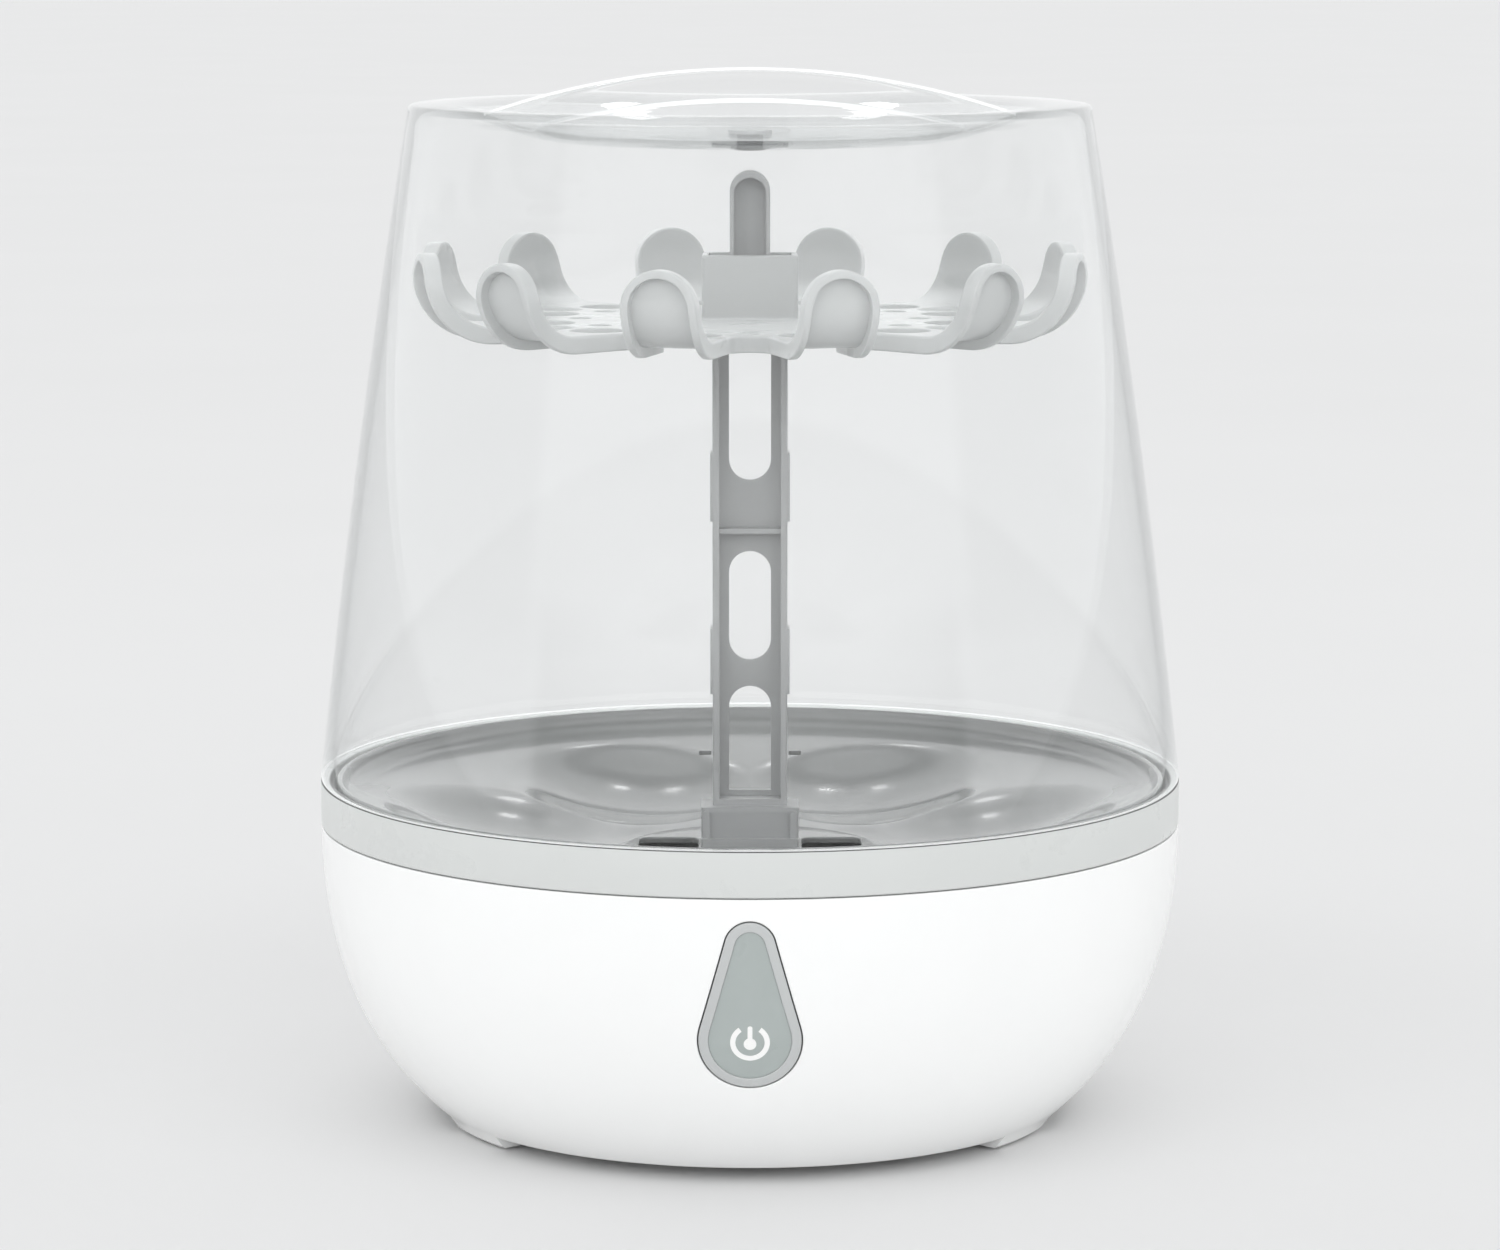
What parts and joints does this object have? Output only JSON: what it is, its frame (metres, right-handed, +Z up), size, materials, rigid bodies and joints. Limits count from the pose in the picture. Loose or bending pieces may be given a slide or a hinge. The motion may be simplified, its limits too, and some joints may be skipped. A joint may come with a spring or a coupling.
{
  "type": "electric bottle sterilizer",
  "caption": "Round steam sterilizer for feeding bottles: white heated base with a push button, clear lift-off lid with an arched grip, bottle rack, mast and teat tray.",
  "frame": {"origin": "on the floor under the middle of the round base", "axes": "+Z up; -Y is the front with the push button, +Y the back with the cord entry; +X to the right seen from the front"},
  "size_m": [0.26, 0.26, 0.3161],
  "materials": {
    "clear_plastic": "clear polished plastic",
    "clear_plastic_grip": "clear polished plastic",
    "vent_silicone": "satin silicone",
    "tray_plastic": "satin moulded plastic",
    "rack_plastic": "glossy moulded plastic",
    "mast_plastic": "satin moulded plastic",
    "button_plastic": "semi-gloss plastic",
    "panel_plastic": "semi-gloss plastic",
    "mark_plastic": "white translucent plastic",
    "guide_plastic": "clear plastic",
    "plunger_plastic": "satin plastic",
    "white_plastic": "glossy white plastic",
    "band_plastic": "glossy light grey plastic",
    "basin_plastic": "glossy plastic",
    "plate_steel": "brushed stainless steel",
    "gasket_rubber": "silicone",
    "zinc_steel": "zinc-plated steel",
    "screw_steel": "zinc-plated steel",
    "element_steel": "dulled steel tube",
    "tab_brass": "bare brass",
    "thermostat_body": "phenolic plastic",
    "fuse_metal": "drawn metal can",
    "spring_steel": "spring steel",
    "cover_plastic": "fine-textured plastic",
    "foot_rubber": "matt rubber",
    "board_laminate": "solder-masked laminate",
    "switch_body": "moulded plastic",
    "led_resin": "clear resin",
    "relay_body": "moulded plastic",
    "capacitor_body": "moulded plastic",
    "terminal_body": "moulded plastic",
    "lead_rubber": "silicone sleeve",
    "cable_rubber": "insulated wire",
    "gland_plastic": "nylon",
    "nut_plastic": "nylon"
  },
  "bodies": {
    "base": {"base_housing": "white_plastic", "trim_ring": "band_plastic", "basin_wall": "basin_plastic", "basin_floor": "basin_plastic", "heating_plate": "plate_steel", "plate_gasket": "gasket_rubber", "clamp_ring": "zinc_steel", "clamp_screws": "screw_steel", "heating_element": "element_steel", "element_tabs": "tab_brass", "thermostat": "thermostat_body", "thermal_fuse": "fuse_metal", "sensor_bracket": "spring_steel", "basin_screws": "screw_steel", "bottom_cover": "cover_plastic", "cover_screws": "screw_steel", "foot_pads": "foot_rubber", "control_board": "board_laminate", "push_switch": "switch_body", "return_spring": "spring_steel", "indicator_leds": "led_resin", "board_screws": "screw_steel", "power_board": "board_laminate", "relay": "relay_body", "power_capacitor": "capacitor_body", "terminal_block": "terminal_body", "power_board_screws": "screw_steel", "heater_leads": "lead_rubber", "board_cable": "cable_rubber", "cord_gland": "gland_plastic", "gland_nut": "nut_plastic"},
    "rack": {"bottle_rack": "rack_plastic", "mast": "mast_plastic"},
    "tray": {"teat_tray": "tray_plastic", "tray_petals": "tray_plastic", "tray_socket": "tray_plastic"},
    "lid": {"lid_wall": "clear_plastic", "lid_crown": "clear_plastic", "lid_dish": "clear_plastic", "lid_handle": "clear_plastic_grip", "steam_vent": "vent_silicone"},
    "button": {"power_button": "button_plastic", "button_panel": "panel_plastic", "power_symbol": "mark_plastic", "light_guide": "guide_plastic", "switch_plunger": "plunger_plastic"}
  },
  "joints": [
    {"name": "rack_lift", "type": "slide", "parent": "base", "child": "rack", "axis": [0, 0, 1], "range_m": [0, 0.15]},
    {"name": "tray_lift", "type": "slide", "parent": "rack", "child": "tray", "axis": [0, 0, 1], "range_m": [0, 0.06]},
    {"name": "lid_lift", "type": "slide", "parent": "tray", "child": "lid", "axis": [0, 0, 1], "range_m": [0, 0.2]},
    {"name": "button_press", "type": "slide", "parent": "base", "child": "button", "axis": [0, 1, 0], "range_m": [0, 0.0015], "stiffness_N_per_m": 900, "springref_m": -0.0005, "deforming": ["return_spring"]}
  ]
}
